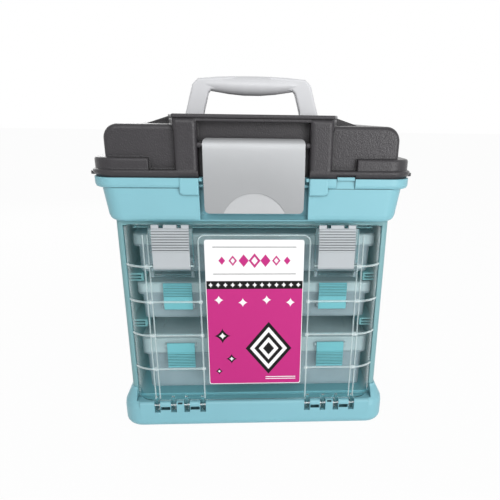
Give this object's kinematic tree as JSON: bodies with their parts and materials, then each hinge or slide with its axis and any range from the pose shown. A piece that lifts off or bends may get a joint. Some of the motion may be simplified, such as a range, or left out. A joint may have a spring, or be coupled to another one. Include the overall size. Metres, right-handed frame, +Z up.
{
  "type": "craft storage rack",
  "caption": "Portable craft rack with a lidded top bin and carry handle over clear divided boxes that stand on runners behind a clear latched door.",
  "frame": {"origin": "on the floor, under the middle of the whole object's bounding box, with the handle up, the lid and the door shut", "axes": "+X to the right of someone who faces the door, +Y from the door to the back, +Z up"},
  "size_m": [0.3436, 0.2602, 0.3966],
  "materials": {
    "teal_body": "moulded polypropylene, fine matt",
    "aqua_bin": "moulded polypropylene, satin",
    "charcoal_lid": "moulded polypropylene, fine grain",
    "silver_latch": "moulded ABS with metallic pigment, satin",
    "grey_handle": "moulded polypropylene, smooth",
    "clear_door": "clear moulded polycarbonate, polished",
    "white_latch": "moulded ABS, satin",
    "clear_tray": "clear moulded polypropylene",
    "frosted_lid": "frosted moulded polypropylene",
    "teal_latch": "moulded polypropylene, satin",
    "clear_divider": "clear extruded sheet",
    "steel_pin": "bright drawn wire",
    "rubber_foot": "moulded, matt",
    "printed_card": "coated card with a printed face"
  },
  "bodies": {
    "rack": {"base_plinth": "aqua_bin", "foot_pads": "rubber_foot", "base_screws": "steel_pin", "rack_shell": "teal_body", "bulk_bin": "aqua_bin", "bin_screws": "steel_pin", "lid_hinge_rods": "steel_pin", "door_hinge_pins": "steel_pin", "runner_lower_right": "teal_body", "runner_lower_left": "teal_body", "runner_upper_right": "teal_body", "runner_upper_left": "teal_body"},
    "lid": {"bin_lid": "charcoal_lid", "main_latch_pin": "steel_pin", "handle_pins": "steel_pin"},
    "main_latch": {"main_latch": "silver_latch"},
    "handle": {"handle": "grey_handle"},
    "door": {"door": "clear_door", "label_card": "printed_card", "door_latch_pin_right": "steel_pin", "door_latch_pin_left": "steel_pin"},
    "door_latch_right": {"door_latch_right": "white_latch"},
    "door_latch_left": {"door_latch_left": "white_latch"},
    "deep_box": {"deep_box_tray": "clear_tray", "deep_box_lid": "frosted_lid", "deep_box_hinge_pin": "steel_pin", "deep_box_dividers": "clear_divider", "deep_box_latch_pins": "steel_pin"},
    "deep_box_latch_right": {"deep_box_latch_right": "teal_latch"},
    "deep_box_latch_left": {"deep_box_latch_left": "teal_latch"},
    "middle_box": {"middle_box_tray": "clear_tray", "middle_box_lid": "frosted_lid", "middle_box_hinge_pin": "steel_pin", "middle_box_dividers": "clear_divider", "middle_box_latch_pins": "steel_pin"},
    "middle_box_latch_right": {"middle_box_latch_right": "teal_latch"},
    "middle_box_latch_left": {"middle_box_latch_left": "teal_latch"},
    "top_box": {"top_box_tray": "clear_tray", "top_box_lid": "frosted_lid", "top_box_hinge_pin": "steel_pin", "top_box_dividers": "clear_divider", "top_box_latch_pins": "steel_pin"},
    "top_box_latch_right": {"top_box_latch_right": "teal_latch"},
    "top_box_latch_left": {"top_box_latch_left": "teal_latch"}
  },
  "joints": [
    {"name": "lid_hinge", "type": "hinge", "parent": "rack", "child": "lid", "pos_m": [0, 0.1257, 0.297], "axis": [-1, 0, 0], "range_deg": [0, 100]},
    {"name": "handle_pivot", "type": "hinge", "parent": "lid", "child": "handle", "pos_m": [0, 0, 0.343], "axis": [-1, 0, 0], "range_deg": [0, 90]},
    {"name": "main_latch_hinge", "type": "hinge", "parent": "lid", "child": "main_latch", "pos_m": [0, -0.1205, 0.327], "axis": [-1, 0, 0], "range_deg": [0, 95]},
    {"name": "door_hinge", "type": "hinge", "parent": "rack", "child": "door", "pos_m": [0, -0.1245, 0.031], "axis": [1, 0, 0], "range_deg": [0, 90]},
    {"name": "door_latch_right_hinge", "type": "hinge", "parent": "door", "child": "door_latch_right", "pos_m": [0.09, -0.1249, 0.203], "axis": [1, 0, 0], "range_deg": [0, 35]},
    {"name": "door_latch_left_hinge", "type": "hinge", "parent": "door", "child": "door_latch_left", "pos_m": [-0.09, -0.1249, 0.203], "axis": [1, 0, 0], "range_deg": [0, 35]},
    {"name": "deep_box_slide", "type": "slide", "parent": "rack", "child": "deep_box", "axis": [0, -1, 0], "range_m": [0, 0.012]},
    {"name": "deep_box_latch_right_hinge", "type": "hinge", "parent": "deep_box", "child": "deep_box_latch_right", "pos_m": [0.0928, -0.0968, 0.0982], "axis": [-1, 0, 0], "range_deg": [0, 30]},
    {"name": "deep_box_latch_left_hinge", "type": "hinge", "parent": "deep_box", "child": "deep_box_latch_left", "pos_m": [-0.0892, -0.0968, 0.0982], "axis": [-1, 0, 0], "range_deg": [0, 30]},
    {"name": "middle_box_slide", "type": "slide", "parent": "rack", "child": "middle_box", "axis": [0, -1, 0], "range_m": [0, 0.012]},
    {"name": "middle_box_latch_right_hinge", "type": "hinge", "parent": "middle_box", "child": "middle_box_latch_right", "pos_m": [0.0928, -0.0945, 0.1481], "axis": [1, 0, 0], "range_deg": [0, 30]},
    {"name": "middle_box_latch_left_hinge", "type": "hinge", "parent": "middle_box", "child": "middle_box_latch_left", "pos_m": [-0.0892, -0.0945, 0.1481], "axis": [1, 0, 0], "range_deg": [0, 30]},
    {"name": "top_box_slide", "type": "slide", "parent": "rack", "child": "top_box", "axis": [0, -1, 0], "range_m": [0, 0.012]},
    {"name": "top_box_latch_right_hinge", "type": "hinge", "parent": "top_box", "child": "top_box_latch_right", "pos_m": [0.0928, -0.0945, 0.2043], "axis": [1, 0, 0], "range_deg": [0, 30]},
    {"name": "top_box_latch_left_hinge", "type": "hinge", "parent": "top_box", "child": "top_box_latch_left", "pos_m": [-0.0892, -0.0945, 0.2043], "axis": [1, 0, 0], "range_deg": [0, 30]}
  ]
}
